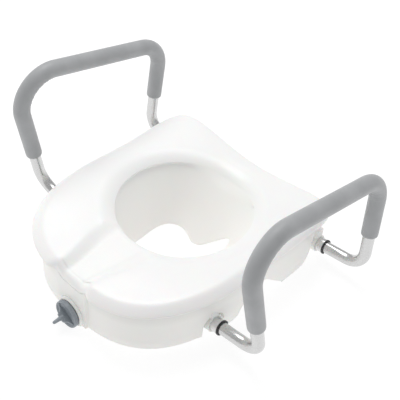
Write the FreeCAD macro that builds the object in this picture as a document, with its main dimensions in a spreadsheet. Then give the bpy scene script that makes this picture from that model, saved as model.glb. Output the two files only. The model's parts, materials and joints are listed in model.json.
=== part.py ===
# Raised toilet seat with a front clamp and two removable arms.
# Frame: millimetres, +Z up, the user sits facing -Y, the mirror plane is X = 0.
# The origin lies on the floor, at the middle of the whole object's box.
import FreeCAD, Part
import math
import os

Vec = FreeCAD.Vector
doc = FreeCAD.newDocument("raised_toilet_seat")
sheet = doc.addObject("Spreadsheet::Sheet", "Sizes")

SIZES = {
    # seat moulding
    "seat_half_width": 201.0, "seat_mid_y": 27.5, "seat_front_reach": 249.3, "seat_rear_reach": 221.3,
    "seat_top": 120.0, "lip_bottom": 100.0, "lip_inset": 14.0, "lip_radius": 11.0,
    "skirt_bottom": 11.0, "skirt_wall": 14.0, "deck_under": 62.0, "foot_bottom": 3.0,
    "funnel_wall": 6.0, "rear_dip": 15.0, "trough_radius": 60.0, "trough_depth": 13.0,
    # front panel and knob
    "panel_half_width": 35.7, "panel_face": -211.4, "panel_top": 98.0,
    "boss_radius": 30.5, "boss_proud": 4.6, "screw_height": 26.8,
    "knob_radius": 26.0, "knob_back": -216.6, "knob_depth": 8.6, "knob_tip": -251.4,
    "fin_thick": 5.0, "screw_radius": 5.0, "screw_end": -127.0, "bush_radius": 9.0,
    # clamp
    "clamp_half_width": 27.0, "clamp_front": -178.0, "clamp_rear": -118.0, "clamp_low": 12.5,
    "clamp_high": 46.0, "nut_across": 17.0, "nut_thick": 9.0, "pad_thick": 5.0,
    "rail_gap": 0.5, "rail_thick": 4.0,
    # arms
    "tube_radius": 11.1, "tube_wall": 1.5, "grip_radius": 15.3, "arm_low_x": 282.2, "arm_high_x": 265.8,
    "arm_front_low_y": -54.8, "arm_front_low_z": 45.4, "arm_front_high_y": -115.3, "arm_front_high_z": 313.7,
    "arm_rear_low_y": 234.6, "arm_rear_low_z": 43.4, "arm_rear_high_y": 235.8, "arm_rear_high_z": 251.0,
    "arm_fall": 0.12, "arm_inner_x": 92.0, "low_bend": 38.0, "high_bend": 62.0,
    "grip_front_at": 0.29, "grip_rear_at": 0.38,
    # sockets
    "sleeve_radius": 13.5, "sleeve_bore": 11.4, "sleeve_inner_x": 78.0, "sleeve_outer_x": 199.0,
    "housing_radius": 16.8, "ring_radius": 14.2, "ring_thick": 2.4,
    "button_radius": 3.6, "button_proud": 5.2, "button_x": 191.0,
}
for row, (alias, value) in enumerate(SIZES.items(), start=1):
    sheet.set("A%d" % row, alias)
    sheet.set("B%d" % row, str(value))
    sheet.setAlias("B%d" % row, alias)
doc.recompute()


def size(alias):
    """A driving dimension, read from the sheet."""
    return float(sheet.get(alias))


def feature(label, shape):
    """A sub-part whose shape needs Part's own functions."""
    item = doc.addObject("Part::Feature", label)
    item.Label = label
    item.Shape = shape
    return item


def bound(kind, label, place=(0, 0, 0), axis=(0, 0, 1), **sizes):
    """A Part primitive whose sizes follow expressions on the sheet."""
    item = doc.addObject("Part::" + kind, label)
    item.Label = label
    for name, text in sizes.items():
        item.setExpression(name, text.replace("$", "Sizes."))
    turn = FreeCAD.Rotation(Vec(0, 0, 1), Vec(*axis))
    base = Vec(*[float(value) if not isinstance(value, str) else 0.0 for value in place])
    item.Placement = FreeCAD.Placement(base, turn)
    for letter, value in zip("xyz", place):
        if isinstance(value, str):
            item.setExpression("Placement.Base." + letter, value.replace("$", "Sizes."))
    return item


def joined(kind, label, first, second):
    """A Part boolean of two objects."""
    item = doc.addObject("Part::" + kind, label)
    item.Label = label
    item.Base = first
    item.Tool = second
    return item


def fused(label, items):
    item = doc.addObject("Part::MultiFuse", label)
    item.Label = label
    item.Shapes = items
    return item


# ---------------------------------------------------------------- plan outline of the seat
FRONT_POWER = 2.69
REAR_POWER = 11.0
OUTLINE_STEPS = 64
EDGE_STEPS = 4


def outline_point(angle, inset):
    """A point of the seat's plan outline: a soft superellipse in front, a squarer one behind."""
    rear = math.sin(angle) > 0
    power = REAR_POWER if rear else FRONT_POWER
    reach = size("seat_rear_reach") if rear else size("seat_front_reach")
    cos_part = math.copysign(abs(math.cos(angle)) ** (2 / power), math.cos(angle))
    sin_part = math.copysign(abs(math.sin(angle)) ** (2 / power), math.sin(angle))
    return (size("seat_half_width") - inset) * cos_part, size("seat_mid_y") + (reach - inset) * sin_part


def outline_angles():
    """Angles that spread the outline's points evenly enough for a smooth curve."""
    angles = []
    for step in range(OUTLINE_STEPS):
        turn = 2 * math.pi * step / OUTLINE_STEPS
        rear = math.sin(turn) > 0
        power = REAR_POWER if rear else FRONT_POWER
        blend = 0.5 * power
        c = abs(math.cos(turn)) ** blend
        s = abs(math.sin(turn)) ** blend
        angles.append(math.atan2(math.copysign(s, math.sin(turn)), math.copysign(c, math.cos(turn))))
    return angles


def outline_wire(inset, height):
    points = [Vec(*outline_point(angle, inset), height) for angle in outline_angles()]
    curve = Part.BSplineCurve()
    curve.interpolate(Points=points, PeriodicFlag=True)
    return Part.Wire(curve.toShape())


def outline_solid(inset, low, high):
    return Part.Face(outline_wire(inset, low)).extrude(Vec(0, 0, high - low))


def rounded_deck():
    """The deck with its upper edge rounded, as a loft through level outlines."""
    radius, crown = size("lip_radius"), size("seat_top") - size("lip_radius")
    turns = [math.radians(90) * step / EDGE_STEPS for step in range(EDGE_STEPS + 1)]
    sections = [(0.0, size("lip_bottom"))]
    sections += [(radius * (1 - math.cos(turn)), crown + radius * math.sin(turn)) for turn in turns]
    return Part.makeLoft([outline_wire(inset, z) for inset, z in sections], True, True)


def oval(half_x, half_y, mid_y, height):
    """A level oval wire."""
    large, small = max(half_x, half_y), min(half_x, half_y)
    ellipse = Part.Ellipse(Vec(0, mid_y, height), large, small)
    edge = ellipse.toShape()
    if half_y > half_x:
        edge.rotate(Vec(0, mid_y, height), Vec(0, 0, 1), 90)
    return Part.Wire(edge)


def profile_prism(points, width):
    """A side profile of (y, z) points, drawn out from -width to +width along X."""
    wire = Part.makePolygon([Vec(-width, y, z) for y, z in points + points[:1]])
    return Part.Face(wire).extrude(Vec(2 * width, 0, 0))


def rod(radius, start, end):
    """A round bar from one point to another."""
    start, end = Vec(*start), Vec(*end)
    return Part.makeCylinder(radius, (end - start).Length, start, end - start)


# ---------------------------------------------------------------- arm line, shared by sockets and arms
FALL = size("arm_fall")
SIDES = {"left": -1, "right": 1}
ENDS = {"front": ("arm_front_low_y", "arm_front_low_z"), "rear": ("arm_rear_low_y", "arm_rear_low_z")}


def side_tube_point(end, x):
    """A point on the axis of the right arm's side tube, x from the mirror plane."""
    y_name, z_name = ENDS[end]
    return Vec(x, size(y_name), size(z_name) - FALL * (size("arm_low_x") - x))


def to_side(point, side):
    return Vec(SIDES[side] * point.x, point.y, point.z)


# ---------------------------------------------------------------- screw places under the deck
HOOK_X = 70
HOOK_Y = 191
RAIL_SCREW_Y = (-176, -96)
SCREW_SHANK = 2.1
SCREW_REACH = 14.0
FLANGE = 5.0
RAIL_FLANGE_WIDTH = 12.0


def hook_screw_places():
    return [(SIDES[side] * HOOK_X + dx, HOOK_Y + 17) for side in SIDES for dx in (-10, 10)]


def rail_screw_x():
    return size("clamp_half_width") + size("rail_gap") + size("rail_thick") + RAIL_FLANGE_WIDTH / 2


def rail_screw_places():
    return [(SIDES[side] * rail_screw_x(), y) for side in SIDES for y in RAIL_SCREW_Y]


def screw_holes(places, radius):
    return [Part.makeCylinder(radius, SCREW_REACH + 4, Vec(x, y, size("deck_under") - FLANGE - 3))
            for x, y in places]


# ---------------------------------------------------------------- seat moulding
FUNNEL = ((66, 72, 18, 12), (94, 99, 36, 60), (126, 129, 52, 100), (148, 151, 52, 121))
SIDE_PROFILE = [(-260, 11), (-78, 11), (-78, 56), (-34, 56), (-34, 3), (4, 3), (18, 36), (42, 58), (74, 50),
                (124, 3), (190, 3), (212, 14), (212, 60), (260, 62), (260, 130), (-260, 130)]


def seat_moulding():
    top, lip = size("seat_top"), size("lip_bottom")
    deck = rounded_deck()
    skirt = outline_solid(size("lip_inset"), size("foot_bottom"), lip + 1)
    room = outline_solid(size("lip_inset") + size("skirt_wall"), 0, size("deck_under"))
    skirt = skirt.cut(room).common(profile_prism(SIDE_PROFILE, 260))
    wall = size("funnel_wall")
    cup = Part.makeLoft([oval(x + wall, y + wall, mid, z) for x, y, mid, z in FUNNEL[:3]], True)
    seat = deck.fuse([skirt, cup])
    for side in SIDES:
        for end in ENDS:
            inner = to_side(side_tube_point(end, size("sleeve_inner_x")), side)
            outer = to_side(side_tube_point(end, size("seat_half_width") - size("lip_inset") - 2), side)
            housing = rod(size("housing_radius"), inner, outer)
            web = Part.makeBox(abs(outer.x - inner.x), 16, 46, Vec(min(inner.x, outer.x), inner.y - 8, inner.z))
            seat = seat.fuse([housing, web])
    panel = Part.makeBox(2 * size("panel_half_width"), 14, size("panel_top") - size("skirt_bottom"),
                         Vec(-size("panel_half_width"), size("panel_face"), size("skirt_bottom")))
    axis = Vec(0, 1, 0)
    boss = Part.makeCylinder(size("boss_radius"), 12,
                             Vec(0, size("panel_face") - size("boss_proud"), size("screw_height")), axis)
    boss = boss.common(Part.makeBox(80, 20, 80, Vec(-40, size("panel_face") - 8, size("skirt_bottom"))))
    seat = seat.fuse([panel, boss])
    cuts = [Part.makeLoft([oval(x, y, mid, z) for x, y, mid, z in FUNNEL], True),
            Part.makeCylinder(size("bush_radius"), 40, Vec(0, size("panel_face") - 10, size("screw_height")), axis),
            Part.makeCylinder(size("trough_radius"), 200,
                              Vec(0, -260, top + size("trough_radius") - size("trough_depth")), axis)]
    sag = size("rear_dip")
    half_chord = 150.0
    dip_radius = (half_chord ** 2 + sag ** 2) / (2 * sag)
    dip = Part.makeCylinder(dip_radius, 140, Vec(0, 135, top + dip_radius), axis)
    dip.rotate(Vec(0, 135, top), Vec(1, 0, 0), -math.degrees(math.atan2(sag, 115)))
    cuts.append(dip)
    cuts += screw_holes(hook_screw_places() + rail_screw_places(), SCREW_SHANK)
    for side in SIDES:
        for end in ENDS:
            inner = to_side(side_tube_point(end, size("sleeve_inner_x") - 20), side)
            outer = to_side(side_tube_point(end, size("sleeve_outer_x") + 30), side)
            cuts.append(rod(size("sleeve_radius"), inner, outer))
    return seat.cut(cuts).removeSplitter()


feature("seat_shell", seat_moulding())


# ---------------------------------------------------------------- sockets
def button_point(end):
    return side_tube_point(end, size("button_x"))


def key_slot(end, width, side):
    """The open slot under a sleeve's mouth, which the snap button sits in."""
    low = button_point(end)
    box = Part.makeBox(60, width, 30, Vec(low.x, low.y - width / 2, low.z - 30))
    nose = Part.makeCylinder(width / 2, 30, Vec(low.x, low.y, low.z - 30))
    slot = box.fuse(nose)
    return slot if side == "right" else slot.mirror(Vec(0, 0, 0), Vec(1, 0, 0))


SLOT_WIDTH = 2 * size("button_radius") + 0.8
for side in SIDES:
    for end in ENDS:
        inner = to_side(side_tube_point(end, size("sleeve_inner_x")), side)
        mouth = to_side(side_tube_point(end, size("sleeve_outer_x")), side)
        past = to_side(side_tube_point(end, size("sleeve_outer_x") + size("ring_thick")), side)
        along = (mouth - inner).normalize()
        bore = rod(size("sleeve_bore"), inner - along * 5, past + along * 5)
        slot = key_slot(end, SLOT_WIDTH, side)
        feature("socket_sleeve_%s_%s" % (end, side), rod(size("sleeve_radius"), inner, mouth).cut([bore, slot]))
        feature("bush_ring_%s_%s" % (end, side), rod(size("ring_radius"), mouth, past).cut([bore, slot]))

# ---------------------------------------------------------------- rest pads under the flaps and feet
FLAP_PADS = (-30, 0)
FOOT_PADS = (130, 184)


def rest_pads():
    pads = []
    outside = outline_solid(size("lip_inset") + 2, 0, size("foot_bottom"))
    inside = outline_solid(size("lip_inset") + size("skirt_wall") - 2, -1, size("foot_bottom") + 1)
    ring = outside.cut(inside)
    for side in SIDES:
        for low, high in (FLAP_PADS, FOOT_PADS):
            slab = Part.makeBox(60, high - low, 10, Vec(SIDES[side] * 185 - 30, low, -2))
            pads.append(ring.common(slab).Solids[0])
    return Part.makeCompound(pads)


feature("rest_pads", rest_pads())

# ---------------------------------------------------------------- rear hooks, and screws under the deck
for side in SIDES:
    mid = SIDES[side] * HOOK_X
    plate = bound("Box", "hook_plate_" + side, (mid - 18, HOOK_Y, 22), Length="36 mm", Width="5 mm",
                  Height="$deck_under - 22")
    flange = bound("Box", "hook_flange_" + side, (mid - 18, HOOK_Y, "$deck_under - 5"), Length="36 mm",
                   Width="28 mm", Height="5 mm")
    toe = bound("Box", "hook_toe_" + side, (mid - 18, HOOK_Y - 26, 22), Length="36 mm", Width="26 mm",
                Height="5 mm")
    solid = fused("hook_solid_" + side, [plate, flange, toe])
    drills = [bound("Cylinder", "hook_drill_%s_%d" % (side, n), (mid + dx, HOOK_Y + 17, "$deck_under - 10"),
                    Radius="2.3 mm", Height="20 mm") for n, dx in enumerate((-10, 10))]
    joined("Cut", "rear_hook_" + side, solid, fused("hook_drills_" + side, drills))


def pan_screw():
    """A pan-head screw: the top of its head faces down, its shank points up from z = 0."""
    head = Part.makeCylinder(4.2, 2.6, Vec(0, 0, -2.6))
    slot = Part.makeBox(10, 1.0, 1.2, Vec(-5, -0.5, -2.8))
    return head.cut(slot).fuse(Part.makeCylinder(SCREW_SHANK, SCREW_REACH)).removeSplitter()


def screw_group(label, places):
    screws = []
    for x, y in places:
        screw = pan_screw()
        screw.translate(Vec(x, y, size("deck_under") - FLANGE))
        screws.append(screw)
    feature(label, Part.makeCompound(screws))


screw_group("hook_screws", hook_screw_places())

# ---------------------------------------------------------------- clamp guide rails
RAIL_REAR = -82
for side in SIDES:
    near = "($clamp_half_width + $rail_gap)"
    web_x = near if side == "right" else "-(%s + $rail_thick)" % near.strip()
    flange_x = near if side == "right" else "-(%s + $rail_thick + 12)" % near.strip()
    web = bound("Box", "rail_web_" + side, (web_x, -189, "$clamp_low"), Length="$rail_thick",
                Width="107 mm", Height="$deck_under - $clamp_low")
    flange = bound("Box", "rail_flange_" + side, (flange_x, -189, "$deck_under - 5"),
                   Length="$rail_thick + 12", Width="107 mm", Height="5 mm")
    solid = fused("rail_solid_" + side, [web, flange])
    drills = [bound("Cylinder", "rail_drill_%s_%d" % (side, n),
                    (SIDES[side] * rail_screw_x(), y, "$deck_under - 10"),
                    Radius="2.3 mm", Height="20 mm") for n, y in enumerate(RAIL_SCREW_Y)]
    joined("Cut", "clamp_rail_" + side, solid, fused("rail_drills_" + side, drills))
screw_group("rail_screws", rail_screw_places())

# ---------------------------------------------------------------- knob, lead screw, bush and clip
HEIGHT = "$screw_height"
BACK = (0, 1, 0)


def bar(label, radius, start, length):
    """A round bar along +Y at the lead screw's height; start is a number or an expression."""
    return bound("Cylinder", label, (0, start, HEIGHT), BACK, Radius=radius, Height=length)


bush_body = bar("bush_body", "$bush_radius", "$panel_face - $boss_proud", "24 mm")
bush_bore = bar("bush_bore", "$screw_radius + 0.05", "$panel_face - $boss_proud - 1", "30 mm")
joined("Cut", "screw_bush", bush_body, bush_bore)
bar("lead_screw", "$screw_radius", "$knob_back - 5", "$screw_end - $knob_back + 5")
clip_ring = bar("clip_ring", "9 mm", "$panel_face - $boss_proud + 24.3", "2 mm")
clip_bore = bar("clip_bore", "$screw_radius", "$panel_face - $boss_proud + 24", "3 mm")
joined("Cut", "retaining_clip", clip_ring, clip_bore)


KNOB_TURN = -30.0


def knob_shape():
    """A shallow dished disc with a wing across its face and a finger on its axis."""
    radius, back, deep = size("knob_radius"), size("knob_back"), size("knob_depth")
    front = back - deep
    outline = [(0, back), (radius - 3, back), (radius, back - 3), (radius, front + 1.6), (radius - 1.2, front),
               (radius - 5, front + 1.5), (0, front + 3.2)]
    wire = Part.makePolygon([Vec(r, y, 0) for r, y in outline + outline[:1]])
    disc = Part.Face(wire).revolve(Vec(0, 0, 0), Vec(0, 1, 0), 360)
    tip = size("knob_tip")
    thick = size("fin_thick")
    wing = [(-radius + 2, front + 4), (-radius + 2, front - 1), (-8, front - 11), (8, front - 11),
            (radius - 2, front - 1), (radius - 2, front + 4)]
    sheet_wire = Part.makePolygon([Vec(x, y, -thick / 2) for x, y in wing + wing[:1]])
    fin = Part.Face(sheet_wire).extrude(Vec(0, 0, thick))
    finger = Part.makeCone(4.2, 3.0, front + 4 - tip, Vec(0, front + 4, 0), Vec(0, -1, 0))
    socket = Part.makeCylinder(size("screw_radius"), 5, Vec(0, back - 5, 0), Vec(0, 1, 0))
    knob = disc.fuse([fin, finger]).cut(socket).removeSplitter()
    knob.rotate(Vec(0, 0, 0), Vec(0, 1, 0), KNOB_TURN)
    knob.translate(Vec(0, 0, size("screw_height")))
    return knob


feature("clamp_knob", knob_shape())

# ---------------------------------------------------------------- clamp block, nut and pad
block = bound("Box", "clamp_solid", ("-$clamp_half_width", "$clamp_front", "$clamp_low"),
              Length="2 * $clamp_half_width", Width="$clamp_rear - $clamp_front",
              Height="$clamp_high - $clamp_low")
bore = bar("clamp_bore", "$screw_radius + 0.6", "$clamp_front - 1", "$clamp_rear - $clamp_front - 5")
pocket = bound("Prism", "nut_pocket", (0, "$clamp_front - 1", HEIGHT), BACK,
               Circumradius="$nut_across / sqrt(3)", Height="$nut_thick + 1")
joined("Cut", "clamp_block", block, fused("clamp_hollows", [bore, pocket]))
nut_body = bound("Prism", "nut_body", (0, "$clamp_front", HEIGHT), BACK,
                 Circumradius="$nut_across / sqrt(3)", Height="$nut_thick")
nut_bore = bar("nut_bore", "$screw_radius + 0.05", "$clamp_front - 1", "$nut_thick + 2")
joined("Cut", "clamp_nut", nut_body, nut_bore)
bound("Box", "clamp_pad", ("-$clamp_half_width + 3", "$clamp_rear", "$clamp_low + 3"),
      Length="2 * $clamp_half_width - 6", Width="$pad_thick", Height="$clamp_high - $clamp_low - 6")


# ---------------------------------------------------------------- arms
def bend(before, corner, after, radius):
    """The two ends and the middle of the arc that rounds a corner."""
    back = (before - corner).normalize()
    ahead = (after - corner).normalize()
    half = back.getAngle(ahead) / 2
    reach = radius / math.tan(half)
    first, last = corner + back * reach, corner + ahead * reach
    inward = (back + ahead).normalize()
    middle = corner + inward * (radius / math.sin(half) - radius)
    return first, middle, last


def arm_corners():
    low, high = size("arm_low_x"), size("arm_high_x")
    return [side_tube_point("front", size("arm_inner_x")), side_tube_point("front", low),
            Vec(high, size("arm_front_high_y"), size("arm_front_high_z")),
            Vec(high, size("arm_rear_high_y"), size("arm_rear_high_z")),
            side_tube_point("rear", low), side_tube_point("rear", size("arm_inner_x"))]


def arm_path(start=None, end=None):
    """The arm's centre line; start and end cut it short on the two legs."""
    corners = arm_corners()
    radii = [size("low_bend"), size("high_bend"), size("high_bend"), size("low_bend")]
    keep = list(zip(range(1, 5), radii))
    here = corners[0]
    last = corners[-1]
    if start is not None:
        keep = keep[1:3]
        here, last = start, end
    edges = []
    for index, radius in keep:
        first, middle, after = bend(corners[index - 1], corners[index], corners[index + 1], radius)
        edges.append(Part.LineSegment(here, first).toShape())
        edges.append(Part.Arc(first, middle, after).toShape())
        here = after
    edges.append(Part.LineSegment(here, last).toShape())
    return Part.Wire(edges)


def swept(path, radius):
    start = path.Edges[0].Vertexes[0].Point
    along = path.Edges[0].tangentAt(path.Edges[0].FirstParameter)
    ring = Part.Wire(Part.makeCircle(radius, start, along))
    return path.makePipeShell([ring], True, True)


def between(first, last, part):
    return first + (last - first) * part


def mirrored(shape, side):
    return shape if side == "right" else shape.mirror(Vec(0, 0, 0), Vec(1, 0, 0))


def arm_shapes():
    corners = arm_corners()
    path = arm_path()
    outer = swept(path, size("tube_radius"))
    inner = swept(path, size("tube_radius") - size("tube_wall"))
    tube = outer.cut(inner)
    for end in ENDS:
        low = button_point(end)
        tube = tube.cut(Part.makeCylinder(size("button_radius") + 0.2, 30, Vec(low.x, low.y, low.z - 30)))
    grip_path = arm_path(between(corners[1], corners[2], size("grip_front_at")),
                         between(corners[4], corners[3], size("grip_rear_at")))
    grip = swept(grip_path, size("grip_radius")).cut(swept(grip_path, size("tube_radius")))
    plugs = []
    for end in ENDS:
        tip = side_tube_point(end, size("arm_inner_x"))
        deep = side_tube_point(end, size("arm_inner_x") + 12)
        cap = side_tube_point(end, size("arm_inner_x") - 3)
        plugs.append(rod(size("tube_radius") - size("tube_wall"), tip, deep).fuse(rod(size("tube_radius"), cap, tip)))
    return tube, grip, Part.makeCompound([plug.removeSplitter() for plug in plugs])


ARM_TUBE, GRIP, PLUGS = arm_shapes()


SPRING_FLOOR = -2.7
SPRING_ROOF = 7.4
SPRING_RUN = 26.0
SPRING_THICK = 0.7
SPRING_WIDTH = 5.0


def snap_button(end):
    """A domed button that stands in the tube's wall, with a collar inside to stop it."""
    low = button_point(end)
    radius = size("tube_radius")
    stem = Part.makeCylinder(size("button_radius"), radius + size("button_proud") - 5,
                             Vec(low.x, low.y, low.z - radius - size("button_proud") + 1.5))
    dome = Part.makeCone(size("button_radius") - 1.4, size("button_radius"), 1.5,
                         Vec(low.x, low.y, low.z - radius - size("button_proud")))
    collar = Part.makeCylinder(5.0, 1.6, Vec(low.x, low.y, low.z - 6.2))
    return stem.fuse([dome, collar]).removeSplitter()


def button_spring(end):
    """A strip bent like a hairpin: its lower leg rests on the button, its upper leg on the tube's roof."""
    low = button_point(end)
    floor, roof = low.z + SPRING_FLOOR, low.z + SPRING_ROOF
    tip, bend_x = low.x + 5, low.x - SPRING_RUN
    drop = FALL * (SPRING_RUN + 2)
    over = [(tip, floor + SPRING_THICK), (bend_x + 0.6, low.z - drop - 1.2), (bend_x - 1.0, low.z - drop),
            (bend_x + 0.4, low.z - drop + 1.4), (tip - 6, roof - SPRING_THICK), (tip - 6, roof)]
    under = [(bend_x, low.z - drop + 2.2), (bend_x - 1.8, low.z - drop), (bend_x, low.z - drop - 1.9),
             (tip, floor)]
    outline = over + under
    wire = Part.makePolygon([Vec(x, low.y - SPRING_WIDTH / 2, z) for x, z in outline + outline[:1]])
    return Part.Face(wire).extrude(Vec(0, SPRING_WIDTH, 0))


for side in SIDES:
    feature("arm_tube_" + side, mirrored(ARM_TUBE, side))
    feature("grip_" + side, mirrored(GRIP, side))
    feature("tube_plugs_" + side, mirrored(PLUGS, side))
    for end in ENDS:
        feature("snap_button_%s_%s" % (end, side), mirrored(snap_button(end), side))
        feature("button_spring_%s_%s" % (end, side), mirrored(button_spring(end), side))

# ---------------------------------------------------------------- check and write
NODES = ["seat_shell", "rest_pads", "hook_screws", "rail_screws", "screw_bush", "lead_screw", "retaining_clip",
         "clamp_knob", "clamp_block", "clamp_nut", "clamp_pad"]
for side in SIDES:
    NODES += [name + side for name in ("rear_hook_", "clamp_rail_", "arm_tube_", "grip_", "tube_plugs_")]
    NODES += ["%s_%s_%s" % (name, end, side) for end in ENDS
              for name in ("socket_sleeve", "bush_ring", "snap_button", "button_spring")]

doc.recompute()
for item in doc.Objects:
    if "Invalid" in item.State or "Error" in item.State:
        raise RuntimeError("%s failed to recompute" % item.Label)
os.makedirs("parts", exist_ok=True)
for name in NODES:
    shape = doc.getObjectsByLabel(name)[0].Shape
    if shape.isNull() or not shape.isValid():
        raise RuntimeError("%s has no valid shape" % name)
    shape.exportStep("parts/%s.step" % name)
    box = shape.BoundBox
    print("%-28s %d solids %9.0f mm3  x %.1f..%.1f  y %.1f..%.1f  z %.1f..%.1f" % (
        name, len(shape.Solids), shape.Volume, box.XMin, box.XMax, box.YMin, box.YMax, box.ZMin, box.ZMax))
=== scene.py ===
import json
import math

import bmesh
import bpy
from mathutils import Matrix, Vector


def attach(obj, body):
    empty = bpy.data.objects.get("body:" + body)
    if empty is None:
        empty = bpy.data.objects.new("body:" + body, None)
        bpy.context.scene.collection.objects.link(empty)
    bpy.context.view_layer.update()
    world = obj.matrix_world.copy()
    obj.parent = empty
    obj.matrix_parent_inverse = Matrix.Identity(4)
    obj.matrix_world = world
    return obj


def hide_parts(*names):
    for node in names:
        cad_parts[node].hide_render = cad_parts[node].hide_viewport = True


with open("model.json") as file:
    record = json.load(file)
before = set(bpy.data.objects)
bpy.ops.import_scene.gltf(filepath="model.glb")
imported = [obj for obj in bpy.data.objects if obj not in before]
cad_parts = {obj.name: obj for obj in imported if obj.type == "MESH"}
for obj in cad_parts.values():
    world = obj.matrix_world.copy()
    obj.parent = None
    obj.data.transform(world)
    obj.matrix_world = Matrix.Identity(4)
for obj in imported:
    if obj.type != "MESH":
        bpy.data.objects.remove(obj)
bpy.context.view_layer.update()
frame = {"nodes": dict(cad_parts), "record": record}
MM = 0.001
scene = bpy.context.scene

# ------------------------------------------------------------------ small helpers


def smooth(value, low, high):
    """0 below low, 1 above high, and a soft S between them; high may be the smaller one."""
    t = min(1.0, max(0.0, (value - low) / (high - low)))
    return t * t * (3 - 2 * t)


def mix(a, b, t):
    """From a at t = 0 to b at t = 1."""
    return a + (b - a) * t


def soft_min(a, b, radius):
    """The smaller of two heights, with the crease between them rounded."""
    h = max(radius - abs(a - b), 0.0) / radius
    return min(a, b) - h * h * radius / 4


def only(piece):
    """Makes a piece the one that is selected and active."""
    bpy.ops.object.select_all(action="DESELECT")
    piece.select_set(True)
    bpy.context.view_layer.objects.active = piece


def added(name):
    """The primitive that an operator has just added, under its own name."""
    piece = bpy.context.active_object
    piece.name = name
    piece.data.name = name
    return piece


def settle(piece):
    """Puts the piece's place, turn and scale into its mesh."""
    only(piece)
    bpy.ops.object.transform_apply(location=True, rotation=True, scale=True)
    return piece


def modified(piece, kind, **settings):
    """Adds a modifier, sets it and applies it."""
    only(piece)
    modifier = piece.modifiers.new(kind.lower(), kind)
    for name, value in settings.items():
        setattr(modifier, name, value)
    bpy.ops.object.modifier_apply(modifier=modifier.name)
    return piece


def combined(piece, other, operation):
    """Joins or cuts a piece with another closed one, which is used up."""
    modified(piece, "BOOLEAN", object=other, operation=operation, solver="EXACT")
    bpy.data.objects.remove(other)
    return piece


def edited(piece, work):
    """Runs work(bm) on the piece's mesh."""
    bm = bmesh.new()
    bm.from_mesh(piece.data)
    work(bm)
    bm.to_mesh(piece.data)
    bm.free()
    piece.data.update()
    return piece


def soft_shaded(piece, degrees):
    """Smooth shading, with edges sharper than the angle kept crisp."""
    only(piece)
    bpy.ops.object.shade_smooth_by_angle(angle=math.radians(degrees))
    return piece


# ------------------------------------------------------------------ shader maths


class Wire:
    """A socket in a material's node tree, on which + and * add Math nodes."""

    def __init__(self, tree, socket):
        self.tree = tree
        self.socket = socket

    def maths(self, operation, other):
        return node(self.tree, "ShaderNodeMath", {"operation": operation}, {0: self, 1: other})

    def __add__(self, other):
        return self.maths("ADD", other)

    def __mul__(self, other):
        return self.maths("MULTIPLY", other)

    __radd__ = __add__
    __rmul__ = __mul__


def node(tree, kind, settings=None, sockets=None, out=0):
    """Adds a node, sets it, then fills or links its sockets, and returns one output."""
    made = tree.nodes.new(kind)
    for name, value in (settings or {}).items():
        setattr(made, name, value)
    for name, value in (sockets or {}).items():
        if isinstance(value, Wire):
            tree.links.new(value.socket, made.inputs[name])
        else:
            made.inputs[name].default_value = value
    return Wire(tree, made.outputs[out])


class Finish:
    """A material being put together round one Principled shader."""

    def __init__(self, name):
        self.material = bpy.data.materials.new(name)
        self.material.use_nodes = True
        self.tree = self.material.node_tree
        self.shader = next(n for n in self.tree.nodes if n.type == "BSDF_PRINCIPLED")
        self.place = self.add("ShaderNodeTexCoord", out="Object")

    def add(self, kind, settings=None, sockets=None, out=0):
        return node(self.tree, kind, settings, sockets, out)

    def noise(self, scale, detail=3.0, rough=0.5, stretch=(1, 1, 1)):
        where = self.add("ShaderNodeMapping", None, {"Vector": self.place, "Scale": stretch})
        return self.add("ShaderNodeTexNoise", None,
                        {"Vector": where, "Scale": scale, "Detail": detail, "Roughness": rough})

    def spread(self, value, low, high):
        """Stretches a value from about 0.3-0.7 to low-high."""
        return self.add("ShaderNodeMapRange", None, {"Value": value, "From Min": 0.3, "From Max": 0.7,
                                                     "To Min": low, "To Max": high})

    def tinted(self, factor, first, second):
        """Mixes two colours; the first may be a link."""
        start = first if isinstance(first, Wire) else (*first, 1)
        return self.add("ShaderNodeMix", {"data_type": "RGBA"},
                        {"Factor": factor, 6: start, 7: (*second, 1)}, out=2)

    def bumped(self, height, distance, strength=1.0):
        return self.add("ShaderNodeBump", None,
                        {"Height": height, "Distance": distance, "Strength": strength})

    def set(self, **values):
        for name, value in values.items():
            socket = self.shader.inputs[name.replace("_", " ")]
            if isinstance(value, Wire):
                self.tree.links.new(value.socket, socket)
            elif isinstance(value, tuple):
                socket.default_value = (*value, 1.0)
            else:
                socket.default_value = value
        return self.material


def seat_finish():
    """White blow-moulded plastic: soft gloss, faint orange peel, with painted shade making it warmer and
    darker lower down, and a painted shadow greying it under the lip.
    """
    f = Finish("moulded_white")
    cloud = f.noise(9, 2)
    peel = f.noise(420, 2)
    fine = f.noise(1500, 1)
    height = f.add("ShaderNodeSeparateXYZ", None, {0: f.place}, out=2)
    # painted shade: the colour turns warmer and darker below the deck's height, standing in for the bowl's
    # shade and bounced light
    low_painted_shade = f.add("ShaderNodeMapRange", {"interpolation_type": "SMOOTHSTEP"},
                 {"Value": height, "From Min": 0.118, "From Max": 0.085, "To Min": 0.0, "To Max": 0.9})
    colour = f.tinted(low_painted_shade + f.spread(cloud, -0.1, 0.1), (0.925, 0.925, 0.920), (0.900, 0.897, 0.868))
    # painted shadow: the base colour is greyed under the lip's overhang, by a stored point attribute
    lip_painted_shadow = f.add("ShaderNodeAttribute", {"attribute_name": "lip_painted_shadow"}, out=2)
    colour = f.tinted(lip_painted_shadow * 0.5, colour, (0.55, 0.55, 0.53))
    return f.set(Base_Color=colour, Roughness=f.spread(peel, 0.30, 0.40),
                 Normal=f.bumped(peel * 0.8 + fine * 0.2, 0.00025),
                 Subsurface_Weight=0.12, Subsurface_Scale=0.01, IOR=1.5)


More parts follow.
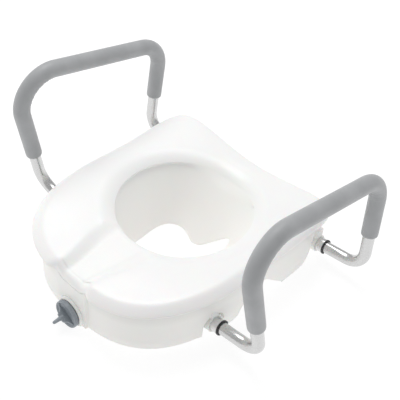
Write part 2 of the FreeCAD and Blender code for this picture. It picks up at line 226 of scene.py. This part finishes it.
def foam_finish():
    """Closed-cell foam with a moulded skin: grey, satin, pin-holed."""
    f = Finish("grip_foam")
    cells = f.add("ShaderNodeTexVoronoi", {"feature": "F1"}, {"Vector": f.place, "Scale": 900.0})
    skin = f.noise(1400, 2)
    cloud = f.noise(26, 3)
    colour = f.tinted(f.spread(cloud, 0, 1), (0.335, 0.343, 0.352), (0.392, 0.400, 0.410))
    return f.set(Base_Color=colour, Roughness=f.spread(skin, 0.40, 0.56),
                 Normal=f.bumped(cells * 0.5 + skin * 0.5, 0.00018, 0.8),
                 Sheen_Weight=0.15, Sheen_Roughness=0.5)


def aluminium_finish(name, value, low, high):
    """Satin anodised tube, with faint drawing lines."""
    f = Finish(name)
    line = f.noise(60, 3, 0.6, (4, 4, 40))
    fine = f.noise(900, 2)
    colour = f.tinted(f.spread(line, 0, 1), (value,) * 3, (value + 0.05,) * 3)
    return f.set(Base_Color=colour, Metallic=1.0, Roughness=f.spread(line * 0.6 + fine * 0.4, low, high),
                 Normal=f.bumped(fine, 0.00003, 0.5))


def knob_finish():
    """Blue-grey moulded plastic with a fine spark texture."""
    f = Finish("knob_grey")
    spark = f.noise(1700, 2)
    cloud = f.noise(60, 2)
    colour = f.tinted(f.spread(cloud, 0, 1), (0.255, 0.285, 0.315), (0.290, 0.322, 0.352))
    return f.set(Base_Color=colour, Roughness=f.spread(spark, 0.36, 0.50),
                 Normal=f.bumped(spark, 0.0001, 0.6))


def plain_finish(name, dark, light, low, high, metal=0.0, grain=700.0):
    """A dyed or plated surface: two near tones, a fine grain in its gloss."""
    f = Finish(name)
    cloud = f.noise(45, 3)
    fine = f.noise(grain, 2)
    colour = f.tinted(f.spread(cloud, 0, 1), dark, light)
    return f.set(Base_Color=colour, Metallic=metal, Roughness=f.spread(fine, low, high),
                 Normal=f.bumped(fine, 0.00008, 0.6))


FINISHES = {
    "seat_plastic": seat_finish(),
    "grip_foam": foam_finish(),
    "arm_aluminium": aluminium_finish("tube_aluminium", 0.62, 0.20, 0.34),
    "sleeve_aluminium": aluminium_finish("sleeve_aluminium", 0.72, 0.24, 0.38),
    "knob_plastic": knob_finish(),
    "clamp_plastic": plain_finish("clamp_white", (0.74, 0.74, 0.72), (0.80, 0.80, 0.78), 0.40, 0.52),
    "black_plastic": plain_finish("black_plastic", (0.018, 0.018, 0.02), (0.035, 0.035, 0.037), 0.42, 0.6),
    "foot_rubber": plain_finish("foot_rubber", (0.74, 0.74, 0.72), (0.80, 0.80, 0.78), 0.55, 0.7),
    "pad_rubber": plain_finish("pad_rubber", (0.035, 0.035, 0.036), (0.06, 0.06, 0.062), 0.65, 0.85),
    "screw_steel": plain_finish("zinc_steel", (0.56, 0.57, 0.58), (0.68, 0.68, 0.69), 0.24, 0.40, 1.0),
    "spring_steel": plain_finish("spring_steel", (0.36, 0.37, 0.40), (0.48, 0.49, 0.51), 0.28, 0.44, 1.0),
}


def finished(piece, slot, body=None, replaced=()):
    """Gives a piece its finish and, for a new one, its body and the nodes it stands for."""
    piece.data.materials.clear()
    piece.data.materials.append(FINISHES[slot])
    if body:
        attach(piece, body)
    if replaced:
        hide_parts(*replaced)
    return piece


for part in frame["record"]["subparts"]:
    finished(frame["nodes"][part["node"]], part["material_slot"])

# ------------------------------------------------------------------ the seat's own sizes, in millimetres
HALF_WIDTH, MID_Y = 201.0, 27.5
FRONT_REACH, REAR_REACH = 249.3, 221.3
FRONT_POWER, REAR_POWER = 2.69, 11.0
DECK_TOP, SKIRT_BOTTOM, FOOT_BOTTOM = 121.0, 11.0, 3.2
SKIRT_INSET, SKIRT_WALL, DECK_UNDER = 13.5, 14.0, 62.0
PANEL_HALF, PANEL_FACE = 35.7, -211.4
# the lip's section: how far in from the outline, and how far below the deck
FRONT_LIP = [(1.2, 16.8), (0.3, 16.0), (0.0, 14.8), (0.4, 13.5), (1.4, 12.2), (4.2, 9.4), (7.2, 6.6),
             (10.4, 4.0), (13.2, 2.1), (16.0, 0.9), (19.0, 0.25)]
REAR_LIP = [(1.2, 17.8), (0.3, 17.0), (0.0, 15.5), (0.0, 13.0), (0.1, 10.5), (0.5, 7.6), (1.7, 4.7),
            (3.9, 2.3), (6.6, 0.9), (9.6, 0.2), (14.0, 0.0)]
DECK_INSET, LIP_DEPTH = 22.0, 17.2
RIM_ROLL, ROLL_END, ROLL_FOOT, GUARD_WALL = 46.0, math.radians(46), 100.0, 5.6
RIM_FALL, DECK_STEPS, WALL_STEPS = 2.0, 12, 15
LOW_HEIGHT, HEIGHT_RANGE = 8.0, 92.0
COLUMNS = 400


def rounded_box(turn, half_x, half_y, power):
    """A point of a superellipse round the origin, in a direction."""
    c, s = math.cos(turn), math.sin(turn)
    far = ((abs(c) / half_x) ** power + (abs(s) / half_y) ** power) ** (-1 / power)
    return far * c, far * s


def outline(turn, inset):
    """A point of the plan outline in a direction from its middle, moved inwards by inset."""
    power, reach = (REAR_POWER, REAR_REACH) if math.sin(turn) > 0 else (FRONT_POWER, FRONT_REACH)
    x, y = rounded_box(turn, HALF_WIDTH - inset, reach - inset, power)
    return x, MID_Y + y


def oval(turn, height, out=0.0):
    """A point of the bowl's wall at a height; the wall is squarer and further forward lower down."""
    t = (height - LOW_HEIGHT) / HEIGHT_RANGE
    x, y = rounded_box(turn, 66 + 46 * t + 13 * t * t + out, 69 + 50 * t + 9 * t * t + out, 3 - t)
    return x, 15 + 37 * t + y


def guard_edge(turn):
    """Height of the splash guard's wavy lower edge."""
    degrees = (math.degrees(turn) + 90) % 360 - 90
    tongue = math.exp(-((degrees - 88) / 13) ** 2)
    left = math.exp(-((degrees - 130) / 34) ** 2)
    right = smooth(degrees, 76, 36) * smooth(degrees, -50, 0)
    return 4.0 + 7.0 * left - 5.5 * tongue + 48.0 * right


def deck_height(x, y):
    """Height of the deck: a little higher at the sides, and dipped in the middle of the rear."""
    side = 5.5 * smooth(abs(x), 70, 180)
    nose = 2.0 * smooth(y, -110, -190)
    sag = 14.5 * (math.cos(math.pi * min(abs(x) / 140, 1.0)) + 1) / 2 * smooth(y, 110, 240)
    return DECK_TOP + side - nose - sag


def trough_height(x, y):
    """Height of the channel that fans out from the front edge to the bowl."""
    back = smooth(y, -208, -92)
    half = mix(44, 74, back)
    rise = smooth(abs(x), 0.35 * half, half)
    return mix(106.5, 108.0, back) + mix(15.5, 13.0, back) * rise + max(0.0, abs(x) - half) * 0.5


def top_height(x, y, height):
    """The deck's height, or the trough's where that is lower."""
    return soft_min(height, trough_height(x, y), 4.0) if y < MID_Y else height


# the skirt's lower edge along a side: (y, height), with the cut-outs between its feet
SIDE_EDGE = [(-300, SKIRT_BOTTOM), (-88, SKIRT_BOTTOM), (-80, 9), (-60, FOOT_BOTTOM), (3, FOOT_BOTTOM),
             (21, 38), (44, 57), (62, 55), (78, 46), (92, 34), (124, 7), (132, FOOT_BOTTOM),
             (188, FOOT_BOTTOM), (200, 12), (208, 24), (213, 60), (300, 60)]


def skirt_edge(y):
    """Height of the skirt's lower edge along a side."""
    for (y0, z0), (y1, z1) in zip(SIDE_EDGE, SIDE_EDGE[1:]):
        if y < y1:
            return mix(z0, z1, (y - y0) / (y1 - y0))
    return SIDE_EDGE[-1][1]


def face_point(turn, inset, height, blend_half):
    """A point of the outer faces, drawn to the flat front panel within blend_half of the middle."""
    x, y = outline(turn, inset)
    if math.sin(turn) < 0:
        y = mix(y, PANEL_FACE, smooth(abs(x), *blend_half))
    return x, y, height


def crown_height(turn):
    """Height of the deck where the lip's roll meets it."""
    x, y = outline(turn, DECK_INSET)
    return top_height(x, y, deck_height(x, y))


# how far from the middle the lip and the skirt start and finish turning into the flat panel
LIP_BLEND = (54, 34)
SKIRT_BLEND = (PANEL_HALF + 0.9, PANEL_HALF - 0.9)


def lip_points(turn):
    """Up the lip's face and over its rolled edge, tighter at the rear."""
    crown = crown_height(turn)
    panel = smooth(abs(outline(turn, 0)[0]), *LIP_BLEND) if math.sin(turn) < 0 else 0.0
    tight = max(panel, smooth(math.sin(turn), 0.25, 0.7))
    points = []
    for (front_in, front_drop), (rear_in, rear_drop) in zip(FRONT_LIP, REAR_LIP):
        inset, drop = mix(front_in, rear_in, tight), mix(front_drop, rear_drop, tight)
        x, y, height = face_point(turn, inset, crown - drop, LIP_BLEND)
        points.append((x, y + inset * panel, height))
    return points


def deck_points(turn):
    """Across the deck and down the bowl's soft rim, with the height at which the rim ends."""
    points = []
    edge, rim = outline(turn, DECK_INSET), oval(turn, ROLL_FOOT, RIM_ROLL * math.sin(ROLL_END))
    for step in range(DECK_STEPS + 1):
        t = step / DECK_STEPS
        x, y = mix(edge[0], rim[0], t), mix(edge[1], rim[1], t)
        points.append((x, y, top_height(x, y, deck_height(x, y) - RIM_FALL * t * t)))
    crest = deck_height(*rim) - RIM_FALL
    for step in range(1, DECK_STEPS + 1):
        bend = ROLL_END * step / DECK_STEPS
        height = crest - RIM_ROLL * (1 - math.cos(bend))
        x, y = oval(turn, ROLL_FOOT, RIM_ROLL * (math.sin(ROLL_END) - math.sin(bend)))
        if y < MID_Y:
            height = soft_min(height, trough_height(x, y), 2.0)
        points.append((x, y, height))
    return points, crest - RIM_ROLL * (1 - math.cos(ROLL_END))


def bowl_points(turn, top):
    """Down the bowl's wall, round the guard's edge and up its back."""
    low = guard_edge(turn)
    points = []
    for step in range(1, WALL_STEPS + 1):
        height = mix(top, low + 2.0, step / WALL_STEPS)
        x, y = oval(turn, height)
        if y < MID_Y:
            height = soft_min(height, trough_height(x, y), 2.0)
        points.append((x, y, height))
    for out, rise in ((0.8, 0.5), (2.8, 0.0), (4.8, 0.6), (GUARD_WALL, 2.4)):
        points.append((*oval(turn, low + rise, out), low + rise))
    for step in range(1, 6):
        height = mix(low + 2.4, DECK_UNDER - 3, step / 5)
        points.append((*oval(turn, height, GUARD_WALL), height))
    return points


def skirt_points(turn):
    """Across the deck's underside, down the skirt's inner face, round its edge and up outside."""
    start, end = oval(turn, DECK_UNDER, GUARD_WALL + 3), outline(turn, SKIRT_INSET + SKIRT_WALL + 4)
    points = [(mix(start[0], end[0], step / 5), mix(start[1], end[1], step / 5), DECK_UNDER)
              for step in range(6)]
    edge = skirt_edge(outline(turn, SKIRT_INSET)[1])
    inner = min(DECK_UNDER, edge + 4)
    for inset, height in ((SKIRT_WALL + 1, DECK_UNDER - 1), (SKIRT_WALL, mix(inner, DECK_UNDER, 0.9)),
                          (SKIRT_WALL, mix(inner, DECK_UNDER, 0.45)), (SKIRT_WALL, inner),
                          (SKIRT_WALL - 1, edge + 1), (SKIRT_WALL - 3.5, edge)):
        points.append((*outline(turn, SKIRT_INSET + inset), min(height, DECK_UNDER)))
    for inset, rise in ((3.5, 0.0), (1.0, 1.0), (0.0, 3.5)):
        points.append(face_point(turn, SKIRT_INSET + inset, edge + rise, SKIRT_BLEND))
    top = crown_height(turn) - LIP_DEPTH
    for share in (0.2, 0.4, 0.6, 0.8, 0.94):
        points.append(face_point(turn, SKIRT_INSET, mix(edge + 3.5, top - 1.5, share), SKIRT_BLEND))
    points.append(face_point(turn, SKIRT_INSET, top - 1.0, SKIRT_BLEND))
    for inset, drop in ((SKIRT_INSET - 1.5, 0.3), (7.0, 0.1), (3.0, 0.0)):
        points.append(face_point(turn, inset, top - drop, LIP_BLEND))
    return points


def seat_section(turn):
    """The moulding's whole section in one direction."""
    deck, top = deck_points(turn)
    return lip_points(turn) + deck + bowl_points(turn, top) + skirt_points(turn)


def column_turns():
    """Even directions, with more of them where the front panel's edges stand."""
    turns = [2 * math.pi * step / COLUMNS for step in range(COLUMNS)]
    for edge in (PANEL_HALF - 1.6, PANEL_HALF - 0.9, PANEL_HALF - 0.3, PANEL_HALF + 0.3, PANEL_HALF + 0.9):
        for side in (-1, 1):
            turns.append(math.atan2(PANEL_FACE - MID_Y, side * edge) % (2 * math.pi))
    return sorted(turns)


def closed_ring(name, sections):
    """A grid bent round on itself both ways: one column for each section, one row for each of its points."""
    columns, rows = len(sections), len(sections[0])
    bpy.ops.mesh.primitive_grid_add(x_subdivisions=columns, y_subdivisions=rows, size=1)
    ring = added(name)
    for row in range(rows + 1):
        for column in range(columns + 1):
            place = sections[column % columns][row % rows]
            ring.data.vertices[row * (columns + 1) + column].co = Vector(place) * MM
    return edited(ring, tidied)


def tidied(bm):
    """Merges doubled points, drops loose ones and turns every face outwards."""
    bmesh.ops.remove_doubles(bm, verts=bm.verts, dist=0.02 * MM)
    bmesh.ops.delete(bm, geom=[edge for edge in bm.edges if not edge.link_faces], context="EDGES")
    bmesh.ops.delete(bm, geom=[vert for vert in bm.verts if not vert.link_edges], context="VERTS")
    bmesh.ops.recalc_face_normals(bm, faces=bm.faces)


def bar_between(name, start, end, radius, sides=48):
    """A round bar from one point to another, in millimetres."""
    start, end = Vector(start) * MM, Vector(end) * MM
    bpy.ops.mesh.primitive_cylinder_add(vertices=sides, radius=radius * MM, depth=(end - start).length,
                                        location=(start + end) / 2,
                                        rotation=(end - start).to_track_quat("Z", "Y").to_euler())
    return settle(added(name))


def block(name, middle, size):
    """A box by its middle and its size, in millimetres."""
    bpy.ops.mesh.primitive_cube_add(size=1, location=[value * MM for value in middle])
    box = added(name)
    box.scale = [value * MM for value in size]
    return settle(box)


# ------------------------------------------------------------------ arms' line and sockets, in millimetres
LOW_X, HIGH_X, FALL = 282.2, 265.8, 0.12
FRONT_LOW, FRONT_HIGH = (-54.8, 45.4), (-115.3, 313.7)
REAR_LOW, REAR_HIGH = (234.6, 43.4), (235.8, 251.0)
HOUSING_RADIUS, HOUSING_INNER_X, HOUSING_OUTER_X = 16.8, 78.0, 185.0
BORE_RADIUS, BORE_PAST, WEB_THICK = 13.55, 0.2, 16.0
SCREW_HEIGHT, BUSH_RADIUS = 26.8, 9.05
SIDES = {"left": -1, "right": 1}
SLOT_Y, SLOT_TOP, SLOT_HALF = -56.0, 56.0, 22.0


def side_tube_point(low, x, side):
    """A point of the line that an arm's tube slides along, at a distance from the middle."""
    return Vector((side * x, low[0], low[1] - FALL * (LOW_X - x)))


def tube_slot(side):
    """The arch through the skirt's side that the front tube comes out of."""
    far, reach, drop = HALF_WIDTH + 12, 60, 60
    middle = SLOT_TOP - SLOT_HALF
    arch = bar_between("slot", (side * (far - reach), SLOT_Y, middle), (side * far, SLOT_Y, middle),
                       SLOT_HALF, 64)
    leg = block("slot_leg", (side * (far - reach / 2), SLOT_Y, middle - drop / 2),
                (reach, 2 * SLOT_HALF, drop))
    return combined(arch, leg, "UNION")


SEAT = closed_ring("seat_moulding", [seat_section(turn) for turn in column_turns()])
for side in SIDES.values():
    combined(SEAT, tube_slot(side), "DIFFERENCE")
combined(SEAT, bar_between("bush_hole", (0, PANEL_FACE - 20, SCREW_HEIGHT),
                           (0, PANEL_FACE + 40, SCREW_HEIGHT), BUSH_RADIUS), "DIFFERENCE")
soft_shaded(SEAT, 40)
# drops below the deck at which the lip's painted shadow starts, is full and has faded out
LIP_SHADOW_START, LIP_SHADOW_FULL, LIP_SHADOW_END = 14.6, 16.0, 55.2


def paint_lip_shadow(mesh):
    """Stores how far each outer point lies in the lip's painted shadow, under its lower edge."""
    shade = mesh.attributes.new("lip_painted_shadow", "FLOAT", "POINT")
    for vertex in mesh.vertices:
        x, y, height = vertex.co / MM
        turn = math.atan2(y - MID_Y, x)
        edge = outline(turn, SKIRT_INSET + 5)
        if math.hypot(x, y - MID_Y) > math.hypot(edge[0], edge[1] - MID_Y):
            drop = crown_height(turn) - height
            panel = smooth(abs(x), *LIP_BLEND) if y < MID_Y else 0.0
            depth = smooth(drop, LIP_SHADOW_START, LIP_SHADOW_FULL) * smooth(drop, LIP_SHADOW_END, LIP_DEPTH)
            shade.data[vertex.index].value = depth * (1 - panel)


# paints the lip's shadow into a point attribute that greys the seat's colour
paint_lip_shadow(SEAT.data)
finished(SEAT, "seat_plastic", "seat", ["seat_shell"])


def tube_housing(name, low, side):
    """A moulded sleeve under the deck, with the web it hangs from and the bore for its metal liner."""
    inner = side_tube_point(low, HOUSING_INNER_X, side)
    outer = side_tube_point(low, HOUSING_OUTER_X, side)
    past = (outer - inner) * BORE_PAST
    housing = bar_between(name, inner, outer, HOUSING_RADIUS, 64)
    web_top = DECK_UNDER + 2
    web = block("web", (side * (HOUSING_INNER_X + HOUSING_OUTER_X) / 2, low[0], (web_top + inner.z) / 2),
                (HOUSING_OUTER_X - HOUSING_INNER_X - 4, WEB_THICK, web_top - inner.z))
    combined(housing, web, "UNION")
    combined(housing, bar_between("bore", inner - past, outer + past, BORE_RADIUS, 64), "DIFFERENCE")
    modified(housing, "BEVEL", width=0.8 * MM, segments=2, limit_method="ANGLE", angle_limit=math.radians(50))
    soft_shaded(housing, 40)
    return finished(housing, "seat_plastic", "seat")


for side_name, side in SIDES.items():
    tube_housing("tube_housing_front_" + side_name, FRONT_LOW, side)
    tube_housing("tube_housing_rear_" + side_name, REAR_LOW, side)

# ------------------------------------------------------------------ knob and the ring behind it
# the ring's section: (radius, y)
BOSS_STEPS = [(9.1, -216.0), (24.6, -216.0), (25.4, -216.6), (27.6, -216.6), (28.4, -215.4), (29.6, -215.2),
              (30.5, -214.2), (30.5, -208.0), (9.1, -208.0)]
KNOB_TURN = math.radians(30)


def turned(name, profile, steps=96):
    """A piece turned on the screw's axis from (radius, y) points."""
    sections = []
    for step in range(steps):
        turn = 2 * math.pi * step / steps
        sections.append([(r * math.cos(turn), y, SCREW_HEIGHT + r * math.sin(turn)) for r, y in profile])
    return closed_ring(name, sections)


def boss_ring():
    """The stepped ring moulded round the knob, cut off level with the panel's lower edge."""
    ring = turned("knob_boss", BOSS_STEPS)
    only(ring)
    bpy.ops.object.mode_set(mode="EDIT")
    bpy.ops.mesh.select_all(action="SELECT")
    bpy.ops.mesh.bisect(plane_co=(0, 0, SKIRT_BOTTOM * MM), plane_no=(0, 0, 1), clear_inner=True,
                        use_fill=True)
    bpy.ops.object.mode_set(mode="OBJECT")
    modified(ring, "BEVEL", width=0.3 * MM, segments=2, limit_method="ANGLE", angle_limit=math.radians(28))
    soft_shaded(ring, 50)
    return finished(ring, "seat_plastic", "seat")


def knob_profile():
    """The dished disc: a rolled rim, three fine ridges inside it, and a flat middle."""
    radius, back, front = 26.0, -216.7, -225.2
    stem, stem_end = 5.05, back - 4.95
    profile = [(stem, back), (radius - 2.6, back), (radius - 0.8, back - 0.7), (radius, back - 2.4),
               (radius, front + 2.0), (radius - 0.5, front + 0.6), (radius - 1.6, front),
               (radius - 2.8, front + 0.3), (radius - 3.6, front + 1.3)]
    for ridge in range(3):
        start = radius - 4.4 - ridge * 2.3
        profile += [(start, front + 2.2), (start - 0.7, front + 1.3), (start - 1.3, front + 1.3),
                    (start - 1.9, front + 2.3)]
    return profile + [(13.5, front + 2.6), (6.0, front + 3.0), (0.0, front + 3.1), (0.0, stem_end),
                      (stem, stem_end)]


def knob_wing():
    """The grip across the disc: low at the rim, shouldered in the middle, as a rounded plate."""
    half, thick, spans = 23.5, 4.6, 32
    bpy.ops.mesh.primitive_grid_add(x_subdivisions=spans, y_subdivisions=1, size=1)
    wing = added("wing")
    for column in range(spans + 1):
        across = mix(-half, half, column / spans)
        reach = 12.5 * math.exp(-(across / 9.5) ** 4) + 6.0 * (1 - (abs(across) / half) ** 2.2) + 1.0
        for row, y in ((0, -221.0), (1, -222.5 - min(reach, 13.5))):
            wing.data.vertices[row * (spans + 1) + column].co = Vector((across, y, 0)) * MM
    modified(wing, "SOLIDIFY", thickness=thick * MM, offset=0.0)
    modified(wing, "BEVEL", width=1.1 * MM, segments=3, limit_method="ANGLE", angle_limit=math.radians(40))
    return wing


def knob_finger():
    """The tapered finger on the knob's axis, with a rounded tip."""
    profile = [(0.0, -230.0), (4.6, -230.0), (4.5, -236.0), (3.4, -240.0), (3.1, -246.5), (2.7, -249.6),
               (1.5, -251.0), (0.0, -251.3)]
    return turned("finger", profile, 32)


def knob():
    """The knob as one piece: its disc, its wing and its finger."""
    disc = turned("knob", knob_profile())
    wing = knob_wing()
    wing.rotation_euler = (0, KNOB_TURN, 0)
    wing.location = (0, 0, SCREW_HEIGHT * MM)
    combined(disc, settle(wing), "UNION")
    combined(disc, knob_finger(), "UNION")
    soft_shaded(disc, 40)
    return finished(disc, "knob_plastic", "knob", ["clamp_knob"])


boss_ring()
knob()

# ------------------------------------------------------------------ foam grips
GRIP_RADIUS, TUBE_RADIUS, HIGH_BEND = 15.3, 11.15, 62.0
GRIP_FRONT_AT, GRIP_REAR_AT = 0.29, 0.38
GRIP_STEP, GRIP_SIDES = 2.2, 40
END_ROUND, END_LENGTH = 3.4, 3.6


def rounded_path(points, radius, step):
    """Points about a step apart along straight runs that arcs join.

    Each is a place, a direction, the way to the arc's centre or None, and how deep in the arc it is.
    """
    path = []
    here = points[0]
    for before, corner, after in zip(points, points[1:], points[2:]):
        back, ahead = (before - corner).normalized(), (after - corner).normalized()
        half = back.angle(ahead) / 2
        reach = radius / math.tan(half)
        first, last = corner + back * reach, corner + ahead * reach
        path += straight(here, first, step)
        centre = corner + (back + ahead).normalized() * (radius / math.sin(half))
        axis = ahead.cross(back).normalized()
        sweep = math.pi - 2 * half
        count = max(2, round(radius * sweep / step))
        for index in range(count):
            spin = Matrix.Rotation(sweep * index / count, 3, axis)
            place = centre + spin @ (first - centre)
            depth = math.sin(math.pi * index / count)
            path.append((place, spin @ -back, (centre - place).normalized(), depth))
        here = last
    path += straight(here, points[-1], step)
    path.append((points[-1], (points[-1] - here).normalized(), None, 0.0))
    return path


def straight(start, end, step):
    """The same for one straight run, without its end."""
    count = max(1, round((end - start).length / step))
    along = (end - start).normalized()
    return [(start + (end - start) * (index / count), along, None, 0.0) for index in range(count)]


def grip(side_name, side):
    """A foam sleeve on an arm, with rounded ends and small folds inside its bends."""
    front_low, rear_low = Vector((LOW_X, *FRONT_LOW)), Vector((LOW_X, *REAR_LOW))
    front_high, rear_high = Vector((HIGH_X, *FRONT_HIGH)), Vector((HIGH_X, *REAR_HIGH))
    path = rounded_path([front_low.lerp(front_high, GRIP_FRONT_AT), front_high, rear_high,
                         rear_low.lerp(rear_high, GRIP_REAR_AT)], HIGH_BEND, GRIP_STEP)
    lengths = [0.0]
    for (a, *_), (b, *_) in zip(path, path[1:]):
        lengths.append(lengths[-1] + (b - a).length)
    total = lengths[-1]
    sections = []
    for index in range(GRIP_SIDES):
        turn = 2 * math.pi * index / GRIP_SIDES
        outer, inner = [], []
        for (place, along, inward, share), length in zip(path, lengths):
            level = (Vector((1, 0, 0)) - along * along.x).normalized()
            spoke = math.cos(turn) * level + math.sin(turn) * along.cross(level)
            near_end = 1 - min(min(length, total - length) / END_LENGTH, 1.0)
            radius = GRIP_RADIUS - END_ROUND * (1 - math.sqrt(max(0.0, 1 - near_end ** 2)))
            if inward:
                fold = smooth(spoke.dot(inward), 0.1, 0.9) * share
                wave = 0.55 * math.sin(length * 0.95) + 0.3 * math.sin(length * 0.43 + turn)
                radius -= fold * (0.75 + wave)
            outer.append(place + spoke * radius)
            inner.append(place + spoke * TUBE_RADIUS)
        sections.append([(side * p.x, p.y, p.z) for p in outer + inner[::-1]])
    piece = closed_ring("foam_grip_" + side_name, sections)
    soft_shaded(piece, 60)
    return finished(piece, "grip_foam", "arm_" + side_name, ["grip_" + side_name])


for side_name, side in SIDES.items():
    grip(side_name, side)

# ------------------------------------------------------------------ floor, light and camera


def ground():
    """The pale floor."""
    bpy.ops.mesh.primitive_plane_add(size=12, location=(0, 0, -0.0002))
    floor = added("floor")
    f = Finish("floor_white")
    mottle = f.noise(2.0, 2)
    floor.data.materials.append(f.set(Base_Color=f.tinted(mottle, (0.20, 0.20, 0.20), (0.22, 0.22, 0.22)),
                                      Roughness=0.9, Emission_Color=(1.0, 1.0, 1.0), Emission_Strength=0.84))


def area_light(name, place, size, power, mirrored=True):
    """A round lamp that points at the seat; it may be left out of reflections."""
    data = bpy.data.lights.new(name, "AREA")
    data.shape = "DISK"
    data.size = size
    data.energy = power
    lamp = bpy.data.objects.new(name, data)
    scene.collection.objects.link(lamp)
    lamp.location = place
    lamp.visible_glossy = mirrored
    lamp.rotation_euler = (Vector((0, 0, 0.1)) - Vector(place)).to_track_quat("-Z", "Y").to_euler()


def studio():
    """A bright even surround with one large lamp above and two weak ones at the sides."""
    world = bpy.data.worlds.new("studio")
    world.use_nodes = True
    background = world.node_tree.nodes["Background"].inputs
    background["Color"].default_value = (1, 1, 1, 1)
    background["Strength"].default_value = 0.52
    scene.world = world
    area_light("key", (-0.9, 0.5, 2.6), 1.8, 38)
    area_light("left", (-1.9, -1.5, 0.9), 1.2, 9, False)
    area_light("right", (1.9, 1.5, 0.9), 1.2, 6, False)
    scene.view_settings.view_transform = "Standard"


def viewpoint():
    """The camera, from the front right and well above, tipped a little."""
    azimuth, elevation, roll = math.radians(39.70), math.radians(41.83), math.radians(6.43)
    back = Vector((math.sin(azimuth) * math.cos(elevation), -math.cos(azimuth) * math.cos(elevation),
                   math.sin(elevation)))
    right = Vector((0, 0, 1)).cross(back).normalized()
    up = back.cross(right)
    right, up = math.cos(roll) * right + math.sin(roll) * up, math.cos(roll) * up - math.sin(roll) * right
    camera = bpy.data.objects.new("camera", bpy.data.cameras.new("camera"))
    scene.collection.objects.link(camera)
    camera.data.lens = 70.63
    camera.data.sensor_width = 36
    camera.location = (0.68965, -0.73857, 1.0658)
    camera.rotation_euler = Matrix((right, up, back)).transposed().to_euler()
    scene.camera = camera


ground()
studio()
viewpoint()
